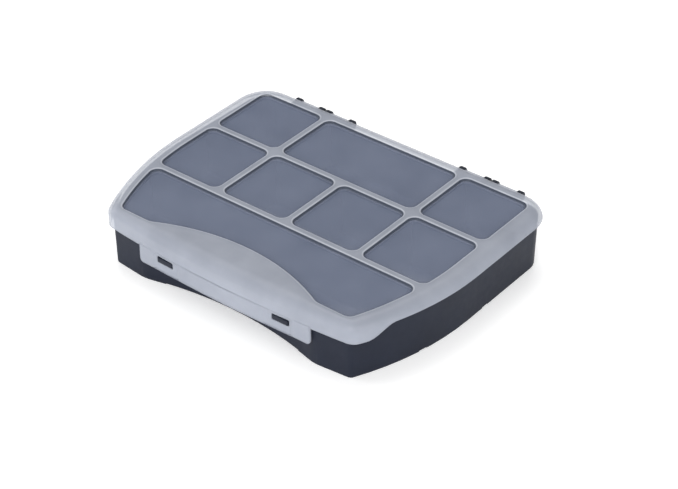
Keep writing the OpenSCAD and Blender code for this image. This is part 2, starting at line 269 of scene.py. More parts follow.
class Shell:
    """Collects rings and faces in (u, v, w), and makes one closed mesh of them."""

    def __init__(self) -> None:
        """Starts empty."""
        self.points: list[tuple[float, float, float]] = []
        self.faces: list[tuple[int, ...]] = []
        self.extras: dict[int, int] = {}

    def ring(self, loop: Iterable[Vector], level: float | Sequence[float]) -> list[int]:
        """Adds a closed row of points.

        Args:
            loop: Their places in the plane.
            level: One w for all, or one for each point.

        Returns:
            The indices of the points.
        """
        places = list(loop)
        levels = [level] * len(places) if isinstance(level, (int, float)) else level
        first = len(self.points)
        self.points += [(p.x, p.y, w) for p, w in zip(places, levels, strict=True)]
        return list(range(first, len(self.points)))

    def bridge(self, rings: Sequence[list[int]], extras: Sequence[int] = ()) -> None:
        """Joins each ring to the next with quads.

        Args:
            rings: The rings in order.
            extras: For each band between two rings, the number of its material.
        """
        for band, (a, b) in enumerate(zip(rings, rings[1:])):
            for i in range(len(a)):
                if band < len(extras):
                    self.extras[len(self.faces)] = extras[band]
                self.faces.append((a[i - 1], a[i], b[i], b[i - 1]))

    def fill(
        self, outer: list[int], holes: Sequence[list[int]] = (), grid: float = 0.0
    ) -> None:
        """Closes a ring with triangles.

        Args:
            outer: The ring.
            holes: Rings inside it that stay open.
            grid: Spacing of extra points inside, or 0 for none.
        """
        loops = [outer, *holes]
        flat = [[Vector(self.points[i][:2]) for i in loop] for loop in loops]
        ids = [i for loop in loops for i in loop]
        places = [p for loop in flat for p in loop]
        edges: list[tuple[int, int]] = []
        for loop in loops:
            first = len(edges)
            count = len(loop)
            edges += [(first + i, first + (i + 1) % count) for i in range(count)]
        if grid:
            level = self.points[outer[0]][2]
            for p in self._grid(flat, grid):
                ids.append(len(self.points))
                places.append(p)
                self.points.append((p.x, p.y, level))
        made, _, triangles, source, _, _ = delaunay_2d_cdt(places, edges, [], 1, 1e-5)
        for triangle in triangles:
            middle = sum((made[i] for i in triangle), Vector((0, 0))) / 3
            if is_inside(middle, flat[0]) and not any(is_inside(middle, h) for h in flat[1:]):
                if not all(source[i] for i in triangle):
                    raise ValueError(f"two rings cross near {tuple(middle)}")
                self.faces.append(tuple(ids[source[i][0]] for i in triangle))

    @staticmethod
    def _grid(flat: Sequence[Sequence[Vector]], step: float) -> list[Vector]:
        """Evenly spaced points well inside the first loop and outside the others."""
        us = [p.x for p in flat[0]]
        vs = [p.y for p in flat[0]]
        margin = step * 0.45
        around = [Vector(d) for d in ((margin, 0), (-margin, 0), (0, margin), (0, -margin))]
        found = []
        for i in range(1, int((max(us) - min(us)) / step) + 1):
            for j in range(1, int((max(vs) - min(vs)) / step) + 1):
                p = Vector((min(us) + i * step, min(vs) + j * step))
                near = [p + d for d in around]
                if not all(is_inside(q, flat[0]) for q in near):
                    continue
                if any(is_inside(q, hole) for hole in flat[1:] for q in near):
                    continue
                found.append(p)
        return found

    def build(self, name: str, place: Place = Plane.PLAN.place) -> bpy.types.Object:
        """Makes the mesh, welded, with its faces turned outward.

        Args:
            name: Name of the piece.
            place: Turns (u, v, w) into a point of the part's frame, in millimetres.

        Returns:
            The new object.
        """
        mesh = bpy.data.meshes.new(name)
        mesh.from_pydata([place(*p) * MM for p in self.points], [], self.faces)
        for index, extra in self.extras.items():
            mesh.polygons[index].material_index = extra
        work = bmesh.new()
        work.from_mesh(mesh)
        bmesh.ops.remove_doubles(work, verts=work.verts, dist=WELD * MM)
        bmesh.ops.recalc_face_normals(work, faces=work.faces)
        for face in work.faces:
            face.smooth = True
        work.to_mesh(mesh)
        work.free()
        piece = bpy.data.objects.new(name, mesh)
        bpy.context.scene.collection.objects.link(piece)
        weighted = piece.modifiers.new("even_normals", "WEIGHTED_NORMAL")
        weighted.weight = 60
        return piece


def edge_levels(
    low: float, high: float, radius: float, steps: int = 3
) -> list[tuple[float, float]]:
    """(w, inset) of the rings of a plate with rounded edges.

    Args:
        low: w of its first face.
        high: w of its last face.
        radius: Radius of the edges.
        steps: Chords of each edge.

    Returns:
        The pairs from the first face to the last.
    """
    start = [(low + c, s) for s, c in quarter(radius, steps)]
    return [*start, *((low + high - w, inset) for w, inset in reversed(start))]


def add_plate(
    shell: Shell,
    outline: Outline,
    levels: Sequence[tuple[float, float]],
    holes: Sequence[Outline] = (),
    grid: float = 0.0,
) -> None:
    """Adds a closed plate with rounded edges, holes included.

    Args:
        shell: The mesh it joins.
        outline: Its outline.
        levels: (w, inset) of its rings.
        holes: Outlines of its holes.
        grid: Spacing of extra points on its two faces, or 0.
    """
    outer = [shell.ring(outline.inset(inset), w) for w, inset in levels]
    shell.bridge(outer)
    inner = [[shell.ring(hole.inset(-inset), w) for w, inset in levels] for hole in holes]
    for rings in inner:
        shell.bridge(rings)
    for end in (0, -1):
        shell.fill(outer[end], [rings[end] for rings in inner], grid)


# ---------------------------------------------------------------- shaders


@dataclass(frozen=True)
class Signal:
    """A number that a shader socket gives out; arithmetic on it adds Math nodes."""

    graph: Graph
    socket: bpy.types.NodeSocket

    def _math(self, operation: str, other: Signal | float) -> Signal:
        """One Math node."""
        node = self.graph.node("ShaderNodeMath", {"operation": operation}, {0: self, 1: other})
        return Signal(self.graph, node.outputs[0])

    def __add__(self, other: Signal | float) -> Signal:
        """self + other."""
        return self._math("ADD", other)

    def __mul__(self, other: Signal | float) -> Signal:
        """self * other."""
        return self._math("MULTIPLY", other)


class Graph:
    """The nodes of one material."""

    def __init__(self, name: str) -> None:
        """Starts a material with a Principled shader.

        Args:
            name: Name of the material.
        """
        self.material = bpy.data.materials.new(name)
        self.material.use_nodes = True
        self.tree = self.material.node_tree
        self.tree.nodes.clear()
        self.shader = self.node("ShaderNodeBsdfPrincipled", {}, {})
        self.node("ShaderNodeOutputMaterial", {}, {"Surface": self.shader.outputs[0]})
        self.place = self.node("ShaderNodeTexCoord", {}, {}).outputs["Object"]

    def node(self, kind: str, settings: dict, values: dict) -> bpy.types.Node:
        """Adds a node.

        Args:
            kind: Its type.
            settings: Its properties, set first; "stops" gives a ramp's (place, grey) pairs.
            values: Numbers, colours, sockets or signals by input name or index.

        Returns:
            The node.
        """
        made = self.tree.nodes.new(kind)
        for key, value in settings.items():
            if key == "stops":
                self._set_stops(made.color_ramp, value)
            else:
                setattr(made, key, value)
        for key, value in values.items():
            if isinstance(value, Signal):
                value = value.socket
            if isinstance(value, bpy.types.NodeSocket):
                self.tree.links.new(value, made.inputs[key])
            else:
                made.inputs[key].default_value = value
        return made

    @staticmethod
    def _set_stops(ramp: bpy.types.ColorRamp, stops: Sequence[tuple[float, float]]) -> None:
        """Gives a ramp its two stops."""
        for element, (place, grey) in zip(ramp.elements, stops, strict=True):
            element.position = place
            element.color = (grey, grey, grey, 1)

    def noise(self, size: float, detail: float = 3.0, rough: float = 0.5) -> Signal:
        """Noise in space.

        Args:
            size: Size of its patches in millimetres.
            detail: Octaves.
            rough: Weight of the finer ones.

        Returns:
            The noise, about 0 to 1.
        """
        values = {
            "Vector": self.place,
            "Scale": 1 / (size * MM),
            "Detail": detail,
            "Roughness": rough,
        }
        return Signal(self, self.node("ShaderNodeTexNoise", {}, values).outputs[0])

    def steep(self, signal: Signal, low: float, high: float) -> Signal:
        """The signal stretched so that low gives 0 and high gives 1."""
        ramp = self.node("ShaderNodeValToRGB", {"stops": [(low, 0), (high, 1)]}, {0: signal})
        return Signal(self, ramp.outputs[0])

    def edges(self) -> Signal:
        """0.5 on flat faces, more on convex edges."""
        return Signal(self, self.node("ShaderNodeNewGeometry", {}, {}).outputs["Pointiness"])

    def blend(self, factor: Signal, a: Colour, b: Colour) -> bpy.types.NodeSocket:
        """Mixes two colours.

        Args:
            factor: 0 gives a, 1 gives b.
            a: First colour.
            b: Second colour.

        Returns:
            The socket with the colour.
        """
        values = {0: factor, 6: (*a, 1), 7: (*b, 1)}
        return self.node("ShaderNodeMix", {"data_type": "RGBA"}, values).outputs[2]

    def bump(self, height: Signal, strength: float, depth: float) -> None:
        """Bumps the shader's surface.

        Args:
            height: Height of the relief, 0 to 1.
            strength: Strength of the node.
            depth: Real depth in millimetres.
        """
        values = {"Height": height, "Strength": strength, "Distance": depth * MM}
        node = self.node("ShaderNodeBump", {}, values)
        self.tree.links.new(node.outputs[0], self.shader.inputs["Normal"])

    def drive(self, name: str, value: Signal | bpy.types.NodeSocket) -> None:
        """Links a value to an input of the shader."""
        socket = value.socket if isinstance(value, Signal) else value
        self.tree.links.new(socket, self.shader.inputs[name])

    def fix(self, **values: float) -> None:
        """Sets inputs of the shader that are the same everywhere; _ stands for a space."""
        for name, value in values.items():
            self.shader.inputs[name.replace("_", " ")].default_value = value


@dataclass(frozen=True)
class BlackPlastic:
    """Moulded near-black polypropylene with a fine spark-eroded grain and rubbed edges."""

    name: str
    dark: Colour = (0.006, 0.009, 0.020)
    light: Colour = (0.010, 0.014, 0.028)
    worn: Colour = (0.030, 0.034, 0.046)
    roughness: float = 0.52
    grain: float = 0.32
    grain_depth: float = 0.035

    def material(self) -> bpy.types.Material:
        """Builds the material."""
        graph = Graph(self.name)
        cloud = graph.steep(graph.noise(34, 4, 0.6), 0.35, 0.68)
        rubbed = graph.steep(graph.edges(), 0.52, 0.60) * graph.noise(3.2, 4, 0.6) * 0.6
        body = graph.blend(cloud, self.dark, self.light)
        values = {0: rubbed, 6: body, 7: (*self.worn, 1)}
        colour = graph.node("ShaderNodeMix", {"data_type": "RGBA"}, values)
        graph.drive("Base Color", colour.outputs[2])
        graph.drive("Roughness", graph.noise(5, 3) * 0.12 + cloud * 0.05 + (self.roughness - 0.09))
        graph.bump(graph.noise(self.grain, 2, 0.55), 0.55, self.grain_depth)
        graph.fix(IOR=1.5, Specular_IOR_Level=0.22)
        return graph.material


@dataclass(frozen=True)
class NaturalPlastic:
    """Translucent natural polypropylene; the sheet lets through what alpha leaves."""

    name: str
    low: Colour
    high: Colour
    alpha: float
    alpha_play: float = 0.04
    roughness: float = 0.36
    grain: float = 0.45
    grain_depth: float = 0.03

    def material(self) -> bpy.types.Material:
        """Builds the material."""
        graph = Graph(self.name)
        flow = graph.steep(graph.noise(26, 3, 0.55), 0.3, 0.7)
        graph.drive("Base Color", graph.blend(flow, self.low, self.high))
        graph.drive("Alpha", flow * self.alpha_play + (self.alpha - self.alpha_play / 2))
        graph.drive("Roughness", graph.noise(4, 3) * 0.1 + (self.roughness - 0.05))
        graph.bump(graph.noise(self.grain, 2, 0.5), 0.5, self.grain_depth)
        graph.fix(IOR=1.49)
        return graph.material


class Finish(Enum):
    """The finishes, each with the name that the log gives it."""

    BLACK = "black_plastic"
    FROSTED = "frosted_plastic"
    CLEAR = "clear_plastic"


class Palette:
    """Makes each material once."""

    def __init__(self) -> None:
        """Builds the three finishes, and the lid's extra materials in their numbers' order: painted
        shade for the ridges' walls, a painted highlight for their top edges, and the seam.
        """
        self.materials = {
            Finish.BLACK: BlackPlastic("black_polypropylene").material(),
            Finish.FROSTED: NaturalPlastic(
                "frosted_polypropylene",
                low=(0.42, 0.45, 0.525),
                high=(0.46, 0.49, 0.565),
                alpha=0.55,
            ).material(),
            Finish.CLEAR: NaturalPlastic(
                "clear_polypropylene",
                low=(0.30, 0.35, 0.49),
                high=(0.33, 0.38, 0.52),
                alpha=0.30,
                alpha_play=0.03,
                roughness=0.22,
                grain=6.0,
                grain_depth=0.002,
            ).material(),
        }
        self.extras = [
            # Painted shade: a dark, more opaque sheet on the steep walls of the ridges beside each
            # panel
            NaturalPlastic(
                "ridge_wall_painted_shade",
                low=(0.06, 0.075, 0.11),
                high=(0.075, 0.09, 0.13),
                alpha=0.7,
                roughness=0.3,
                grain=6.0,
                grain_depth=0.002,
            ).material(),
            # Painted highlight: a lighter sheet along the rounded top edges of the ridges and the
            # shield's arc
            NaturalPlastic(
                "ridge_edge_painted_highlight",
                low=(0.55, 0.58, 0.65),
                high=(0.59, 0.62, 0.69),
                alpha=0.66,
            ).material(),
            NaturalPlastic(
                "seam_polypropylene",
                low=(0.50, 0.53, 0.60),
                high=(0.54, 0.57, 0.64),
                alpha=0.03,
                alpha_play=0.01,
            ).material(),
        ]

    def dress(
        self, piece: bpy.types.Object, finish: Finish, extras: bool = False
    ) -> bpy.types.Object:
        """Gives a piece its finish and slot.

        Args:
            piece: The piece, or a CAD node.
            finish: Its finish.
            extras: True where some of its faces have a material of their own.

        Returns:
            The piece.
        """
        numbers = [face.material_index for face in piece.data.polygons] if extras else []
        piece.data.materials.clear()
        piece.data.materials.append(self.materials[finish])
        if extras:
            for material in self.extras:
                piece.data.materials.append(material)
            for face, number in zip(piece.data.polygons, numbers, strict=True):
                face.material_index = number
        LOG.info("%s: %s, %d faces", piece.name, finish.value, len(piece.data.polygons))
        return piece


# ---------------------------------------------------------------- the organizer


@dataclass(frozen=True)
class Layout:
    """Sizes that several sub-assemblies share."""

    half_w: float = 125.0
    front_y: float = -98.0
    rear_y: float = 91.0
    bend_y: float = 1.5
    top: float = 43.0
    front_r: float = 872.0
    front_long_y: float = -35.0
    rear_long_y: float = 25.0
    pitch: float = 57.0
    pivot_y: float = 94.2
    pivot_z: float = 33.4
    window_x: float = 47.3
    window_w: float = 13.4
    window_low: float = 22.4
    window_high: float = 27.0
    ear_xs: tuple[float, ...] = (46.8, 67.0, 73.3, 93.4)
    ear_t: float = 4.0

    def front_corner(
        self, front_y: float, half_w: float, side_r: float, corner_r: float
    ) -> tuple[Vector, Vector, Vector]:
        """Centres of the bowed front, the curved side and the round corner between them.

        Args:
            front_y: The front's most forward point.
            half_w: The side's widest point.
            side_r: Radius of the side.
            corner_r: Radius of the corner.

        Returns:
            The three centres.
        """
        front_c = Vector((0, front_y + self.front_r))
        side_c = Vector((half_w - side_r, self.bend_y))
        corner_c = crossing(front_c, self.front_r - corner_r, side_c, side_r - corner_r)
        return front_c, side_c, corner_c

    def front_face(self, x: float) -> float:
        """y of the bowed front face of the lid."""
        return self.front_y + self.front_r - math.sqrt(self.front_r**2 - x * x)


@dataclass
class Tray:
    """Black tray: shell, dividers, rails, hinge ears and latch tabs."""

    layout: Layout
    palette: Palette
    half_w: float = 119.8
    rear_y: float = 85.8
    front_y: float = -95.4
    side_r: float = 196.0
    front_corner_r: float = 4.5
    rear_corner_r: float = 14.5
    recess_depth: float = 12.4
    recess_r: float = 256.0
    recess_shoulder_r: float = 30.0
    bottom: float = 0.4
    floor: float = 2.2
    wall_top: float = 38.7
    low_wall_top: float = 37.0
    front_step: float = -78.0
    rear_step: float = 65.0
    rear_step_x: float = 99.0
    step_run: float = 4.0
    ear_top: float = 36.3
    divider_top: float = 41.2
    wall: float = 1.8
    draft: float = 0.35
    foot_r: float = 0.6
    crest_r: float = 0.5
    fillet_r: float = 2.0
    divider_t: float = 1.6
    ear_r: float = 3.8
    bore_r: float = 1.65
    tab_fit: float = 0.4
    tab_corner_r: float = 0.6
    tab_root: float = 0.9
    web_t: float = 1.8
    mid_z: float = 20.0

    def outline(self) -> Outline:
        """Outline of the wall's outer face, with the finger recess in its front."""
        front_c, side_c, corner_c = self.layout.front_corner(
            self.front_y, self.half_w, self.side_r, self.front_corner_r
        )
        recess_c = Vector((0, self.front_y + self.recess_depth - self.recess_r))
        shoulder_c = crossing(
            front_c,
            self.layout.front_r - self.recess_shoulder_r,
            recess_c,
            self.recess_r + self.recess_shoulder_r,
        )
        rear_c = Vector((self.half_w - self.rear_corner_r, self.rear_y - self.rear_corner_r))
        to_shoulder = bearing(recess_c, shoulder_c)
        front_end = bearing(front_c, corner_c)
        side_start = bearing(side_c, corner_c)
        right = [
            *arc(recess_c, self.recess_r, 89, to_shoulder, 14)[:-1],
            *arc(
                shoulder_c,
                self.recess_shoulder_r,
                to_shoulder - 180,
                bearing(front_c, shoulder_c),
                8,
            ),
            *arc(corner_c, self.front_corner_r, front_end, side_start, 8),
            *arc(side_c, self.side_r, side_start, 0, 22)[1:],
            *arc(rear_c, self.rear_corner_r, 0, 90, 14),
        ]
        return Outline.mirrored(right)

    def wall_drop(self, point: Vector) -> float:
        """How far the wall's rim is lowered, over the front and in the rear corners."""
        run = self.step_run
        front = 1 - smooth_step(self.front_step, self.front_step + run, point.y)
        corner = smooth_step(self.rear_step - run, self.rear_step, point.y)
        corner *= smooth_step(self.rear_step_x - run, self.rear_step_x, abs(point.x))
        return (self.wall_top - self.low_wall_top) * max(front, corner)

    def shell(self) -> None:
        """Floor and wall in one, with draft, a soft foot edge and a rounded rim."""
        outline = self.outline()
        body = Shell()
        foot, crest = quarter(self.foot_r, 3), quarter(self.crest_r, 3)
        profile = [(self.bottom + c, self.draft + s) for s, c in foot]
        profile += [(14, self.draft * 0.4), (27, -self.draft * 0.3)]
        profile += [(self.wall_top - s, c - self.draft) for s, c in crest]
        profile += [(self.wall_top - c, self.wall - s) for s, c in crest]
        profile += [(27, self.wall + 0.1), (14, self.wall + 0.25)]
        root = self.wall + 0.4
        profile += [(self.floor + s, root + c) for s, c in quarter(self.fillet_r, 3)]
        drops = [self.wall_drop(p) for p in outline.points]
        upper = self.wall_top - self.mid_z
        rings = []
        for z, inset in profile:
            levels = [z - drop * max(z - self.mid_z, 0) / upper for drop in drops]
            rings.append(body.ring(outline.inset(inset), levels))
        body.bridge(rings)
        body.fill(rings[0])
        body.fill(rings[-1])
        piece = self.palette.dress(body.build("tray_shell"), Finish.BLACK)
        walls = [f"tray_wall_{side}" for side in ("front", "rear", "left", "right")]
        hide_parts("tray_floor", *walls)
        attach(piece, "tray")

    def divider(
        self, name: str, start: Vector, end: Vector, ends_at_wall: tuple[bool, bool]
    ) -> None:
        """A thin wall with draft, flared roots and a rounded crest.

        Args:
            name: The CAD node that it replaces; the piece takes its name with _wall.
            start: First end in plan.
            end: Last end in plan.
            ends_at_wall: For each end, True where it meets the outer wall.
        """
        along = (end - start).normalized()
        across = Vector((-along.y, along.x))
        length = (end - start).length
        half = self.divider_t / 2
        thin, crest_z = half - 0.1, self.divider_top - 0.6
        profile = [(half + 1.5, self.floor - 0.3), (half + 1.5, self.floor + 0.02)]
        profile += [(half + 0.2 + s, self.floor + c) for s, c in quarter(1.3, 3)[1:]]
        profile += [(half, self.mid_z), (thin, crest_z)]
        profile += [
            (thin * math.cos(math.radians(a)), crest_z + rise) for a, rise in ((30, 0.3), (60, 0.52))
        ]
        both = profile + [(0.0, self.divider_top)] + [(-u, z) for u, z in reversed(profile)]
        full_dip, no_dip = 3.0, 5.6
        near = [0.0, 1.5, full_dip, 3.7, 4.3, 4.9, no_dip]
        stations = near + [length * i / 8 for i in range(1, 8)]
        stations += [length - s for s in reversed(near)]
        shell = Shell()
        rings = []
        for s in stations:
            dips = [
                1 - smooth_step(full_dip, no_dip, run) if at_wall else 0.0
                for at_wall, run in zip(ends_at_wall, (s, length - s))
            ]
            lowering = max(dips) * (self.divider_top - self.wall_top + 0.1)
            levels = [z if z <= self.mid_z else z - lowering for _, z in both]
            rings.append(shell.ring([start + along * s + across * u for u, _ in both], levels))
        shell.bridge(rings)
        shell.faces.append(tuple(rings[0]))
        shell.faces.append(tuple(reversed(rings[-1])))
        piece = self.palette.dress(shell.build(f"{name}_wall"), Finish.BLACK)
        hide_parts(name)
        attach(piece, "tray")

    def dividers(self) -> None:
        """Two long dividers and five short ones between them."""
        lay = self.layout
        side_c = self.half_w - self.side_r
        for row, y in (("rear", lay.rear_long_y), ("front", lay.front_long_y)):
            below = max(lay.bend_y - y, 0)
            reach = side_c + math.sqrt(self.side_r**2 - below**2) - self.wall + 0.7
            ends = Vector((-reach, y)), Vector((reach, y))
            self.divider(f"{row}_long_divider", *ends, (True, True))
        rear = self.rear_y - self.wall + 0.7
        for name, x in (("left", -lay.pitch), ("right", lay.pitch)):
            ends = Vector((x, lay.rear_long_y)), Vector((x, rear))
            self.divider(f"rear_divider_{name}", *ends, (False, True))
        for name, x in (("left", -lay.pitch), ("centre", 0.0), ("right", lay.pitch)):
            ends = Vector((x, lay.front_long_y)), Vector((x, lay.rear_long_y))
            self.divider(f"middle_divider_{name}", *ends, (False, False))

    def ears(self) -> None:
        """Eight plates with a bore, in two groups of four."""
        lay = self.layout
        pivot = Vector((lay.pivot_y, lay.pivot_z))
        root = self.rear_y - 1.2
        points = [Vector((root, lay.pivot_z - 9.6))]
        slope = math.degrees(math.asin((self.ear_top - lay.pivot_z) / self.ear_r))
        points += arc(pivot, self.ear_r, -50, 180 - slope, 20)
        points.append(Vector((root, self.ear_top)))
        outline = Outline(tuple(points))
        bore = Outline.circle((lay.pivot_y, lay.pivot_z), self.bore_r)
        xs = sorted([-x for x in lay.ear_xs] + list(lay.ear_xs))
        for number, x in enumerate(xs, 1):
            shell = Shell()
            levels = edge_levels(x - lay.ear_t / 2, x + lay.ear_t / 2, 0.45)
            add_plate(shell, outline, levels, [bore])
            ear = shell.build(f"hinge_ear_{number}_plate", Plane.SIDE.place)
            self.palette.dress(ear, Finish.BLACK)
            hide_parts(f"hinge_ear_{number}")
            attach(ear, "tray")

    def wall_face(self, x: float) -> float:
        """y of the wall's outer face in the finger recess."""
        centre = self.front_y + self.recess_depth - self.recess_r
        return centre + math.sqrt(self.recess_r**2 - x * x)

    def tabs(self) -> None:
        """The two hooks that fill the flap's windows, on gussets from the wall."""
        lay = self.layout
        tip = lay.front_face(lay.window_x) + 0.3
        for name, side in (("left", -1), ("right", 1)):
            middle = side * lay.window_x
            half = lay.window_w / 2 - self.tab_fit
            low, high = lay.window_low + self.tab_fit, lay.window_high - self.tab_fit
            radii = (self.tab_corner_r, self.tab_corner_r)
            outline = Outline.box((middle - half, low), (middle + half, high), radii, 4)
            shell = Shell()
            levels = [(0.0, 0.55), (0.02, 0.22), (0.06, 0.0), (0.5, 0.0), (1.0, 0.0)]
            add_plate(shell, outline, levels)

            def place(u: float, v: float, w: float) -> Vector:
                """Runs from the tip at w 0 to inside the wall at w 1."""
                return Vector((u, tip + w * (self.wall_face(u) + self.tab_root - tip), v))

            tab = shell.build(f"latch_tab_{name}_hook", place)
            webs = Shell()
            for x in (middle - half + 1.0, middle + half - 1.0):
                back = self.wall_face(x) + self.tab_root
                profile = Outline.rounded(
                    [(tip + 3.6, low + 0.3, 0), (back, low - 12, 0), (back, low + 0.3, 0)]
                )
                levels = edge_levels(x - self.web_t / 2, x + self.web_t / 2, 0.25)
                add_plate(webs, profile, levels)
            web = webs.build(f"latch_tab_{name}_webs", Plane.SIDE.place)
            for piece in (tab, web):
                self.palette.dress(piece, Finish.BLACK)
                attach(piece, "tray")
            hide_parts(f"latch_tab_{name}")

    def rails(self, nodes: dict[str, bpy.types.Object]) -> None:
        """The rails under the floor keep their CAD shape.

        Args:
            nodes: The CAD nodes by name.
        """
        for side in ("front", "rear", "left", "right"):
            self.palette.dress(nodes[f"foot_rail_{side}"], Finish.BLACK)

    def build(self, nodes: dict[str, bpy.types.Object]) -> None:
        """Makes every piece of the tray."""
        self.shell()
        self.dividers()
        self.ears()
        self.tabs()
        self.rails(nodes)


@dataclass
class Lid:
    """Translucent lid: frame with rim and ridges, clear panels, flap and hinge arms."""

    layout: Layout
    palette: Palette
    side_r: float = 191.0
    front_corner_r: float = 9.0
    rear_corner_r: float = 25.0
    field_half_w: float = 111.1
    field_rear_y: float = 79.0
    field_front_y: float = -86.3
    field_side_r: float = 205.0
    field_bend_y: float = -2.0
    field_corner_r: float = 6.0
    panel_corner_r: float = 5.7
    shield_r: float = 147.0
    shield_top_y: float = -69.7
    ridge_w: float = 4.8
    sheet: float = 1.5
    panel_top: float = 41.1
    panel_bottom: float = 39.6
    shoulder_w: float = 9.7
    shoulder_slope: float = 0.14
    shoulder_end: float = 37.1
    shoulder_turn: float = 71.0
    side_skirt: float = 36.8
    front_skirt: float = 28.4
    rise_start: float = -83.4
    rise_end: float = -65.2
    skirt_edge_r: float = 0.3
    ridge_edge_r: float = 0.8
    flap_half_w: float = 70.0
    flap_top: float = 30.0
    flap_bottom: float = 15.6
    flap_corner_r: float = 3.0
    window_corner_r: float = 0.8
    pocket_depth: float = 0.8
    pocket_span: tuple[float, float] = (35.0, 55.4)
    pocket_side: float = 1.0
    pocket_top: tuple[float, float] = (27.6, 28.8)
    barrel_r: float = 2.6
    pin_r: float = 1.6
    pin_l: float = 3.4
    arm_play: float = 0.6
    holes: dict[str, Outline] = field(default_factory=dict)

    def outline(self) -> Outline:
        """Outline of the lid's outer face."""
        lay = self.layout
        front_c, side_c, corner_c = lay.front_corner(
            lay.front_y, lay.half_w, self.side_r, self.front_corner_r
        )
        rear_c = Vector((lay.half_w - self.rear_corner_r, lay.rear_y - self.rear_corner_r))
        front_end = bearing(front_c, corner_c)
        side_start = bearing(side_c, corner_c)
        xs = [4.0 + 6.0 * i for i in range(11)]
        xs += [self.flap_half_w, self.flap_half_w + 0.4, 74, 78, 82, 86, 90]
        right = [
            *[Vector((x, lay.front_face(x))) for x in xs if x < corner_c.x - 1.5],
            *arc(corner_c, self.front_corner_r, front_end, side_start, 12),
            *arc(side_c, self.side_r, side_start, 0, 30)[1:],
            *[Vector((lay.half_w, y)) for y in (18, 36, 54)],
            *arc(rear_c, self.rear_corner_r, 0, 90, 18),
            *[Vector((x, lay.rear_y)) for x in (90, 75, 60, 45, 30, 15)],
        ]
        return Outline.mirrored(right)

    def field_side(self, y: float) -> float:
        """Half width of the area that holds the panels."""
        below = max(self.field_bend_y - y, 0.0)
        centre = self.field_half_w - self.field_side_r
        return centre + math.sqrt(self.field_side_r**2 - below**2)

    def side_run(self, low: float, high: float) -> list[Corner]:
        """Points of the field's side between two corners, from the front to the rear."""
        margin = 7.5
        top = min(high - margin, self.field_bend_y)
        bottom = low + margin
        if top <= bottom:
            return []
        count = max(2, round((top - bottom) / 6))
        ys = [bottom + (top - bottom) * i / count for i in range(count + 1)]
        return [(self.field_side(y), y, 0.0) for y in ys]

    def panel_outline(self, x0: float, x1: float, y0: float, y1: float) -> Outline:
        """Outline of one panel; a side beyond the field follows the field's edge.

        Args:
            x0: Left side.
            x1: Right side.
            y0: Front side.
            y1: Rear side.

        Returns:
            The outline with round corners.
        """
        r = self.panel_corner_r
        corners: list[Corner] = []
        if x1 > self.field_half_w:
            corners.append((self.field_side(y0), y0, r))
            corners += self.side_run(y0, y1)
            corners.append((self.field_side(y1), y1, r))
        else:
            corners += [(x1, y0, r), (x1, y1, r)]
        if x0 < -self.field_half_w:
            corners.append((-self.field_side(y1), y1, r))
            corners += [(-x, y, 0.0) for x, y, _ in reversed(self.side_run(y0, y1))]
            corners.append((-self.field_side(y0), y0, r))
        else:
            corners += [(x0, y1, r), (x0, y0, r)]
        return Outline.rounded(corners)

    def front_outline(self) -> Outline:
        """Outline of the front panel, which the shield's arc cuts into."""
        y0 = self.field_front_y
        y1 = self.layout.front_long_y - self.ridge_w / 2
        centre = Vector((0, self.shield_top_y - self.shield_r))
        kink = math.sqrt(self.shield_r**2 - (y0 - centre.y) ** 2)
        spread = math.degrees(math.asin(kink / self.shield_r))
        run = arc(centre, self.shield_r, 90 + spread, 90 - spread, 26)
        right: list[Corner] = [(kink, y0, 12.0)]
        right.append((self.field_side(y0), y0, self.field_corner_r))
        right += self.side_run(y0, y1)
        right.append((self.field_side(y1), y1, self.panel_corner_r))
        left = [(-x, y, r) for x, y, r in reversed(right)]
        shield = [(p.x, p.y, 0.0) for p in run[1:-1]]
        return Outline.rounded([*right, *left, *shield], 9)

    def cut_holes(self) -> None:
        """Works out the outline of every panel."""
        lay = self.layout
        half = self.ridge_w / 2
        far = self.field_half_w + 50
        rear0, rear1 = lay.rear_long_y + half, self.field_rear_y
        mid0, mid1 = lay.front_long_y + half, lay.rear_long_y - half
        inner, outer = lay.pitch - half, lay.pitch + half
        self.holes = {
            "panel_rear_left": self.panel_outline(-far, -outer, rear0, rear1),
            "panel_rear_centre": self.panel_outline(-inner, inner, rear0, rear1),
            "panel_rear_right": self.panel_outline(outer, far, rear0, rear1),
            "panel_middle_1": self.panel_outline(-far, -outer, mid0, mid1),
            "panel_middle_2": self.panel_outline(-inner, -half, mid0, mid1),
            "panel_middle_3": self.panel_outline(half, inner, mid0, mid1),
            "panel_middle_4": self.panel_outline(outer, far, mid0, mid1),
            "panel_front": self.front_outline(),
        }

    def shoulder_widths(self, outline: Outline) -> list[float]:
        """Width of the rounded shoulder at each point, less where a panel comes close."""
        points = outline.points
        room = [min(h.distance(p) for h in self.holes.values()) - 1.9 for p in points]
        tight = [abs(p.x) > 100 and p.y < self.rise_end for p in points]
        limits = [self.front_corner_r - 1.0 if t else self.shoulder_w for t in tight]
        widths = [min(pair) for pair in zip(room, limits, strict=True)]
        count = len(points)
        order = [*range(count), *range(count), *reversed(range(count)), *reversed(range(count))]
        for k, i in enumerate(order):
            near = (i - 1) % count if k < 2 * count else (i + 1) % count
            climb = self.shoulder_slope * (points[i] - points[near]).length
            widths[i] = min(widths[i], widths[near] + climb)
        return widths

    def shoulder_arc(self, point: Vector) -> float:
        """Degrees that the shoulder turns: all the way down at the front, less elsewhere."""
        rise = smooth_step(self.rise_start, self.rise_end, point.y)
        return 90 - (90 - self.shoulder_turn) * rise

    def shoulder_level(self, top: float, turn: float, share: float) -> float:
        """Height of the shoulder.

        Args:
            top: Height where it starts.
            turn: Radians that it turns in all.
            share: How much of that is behind, 0 to 1.

        Returns:
            The height there.
        """
        radius = (top - self.shoulder_end) / (1 - math.cos(turn))
        return top - radius * (1 - math.cos(turn * share))

    def over_flap(self, point: Vector) -> bool:
        """True where the flap hangs from the skirt."""
        return abs(point.x) < self.flap_half_w + 0.01 and point.y < 0

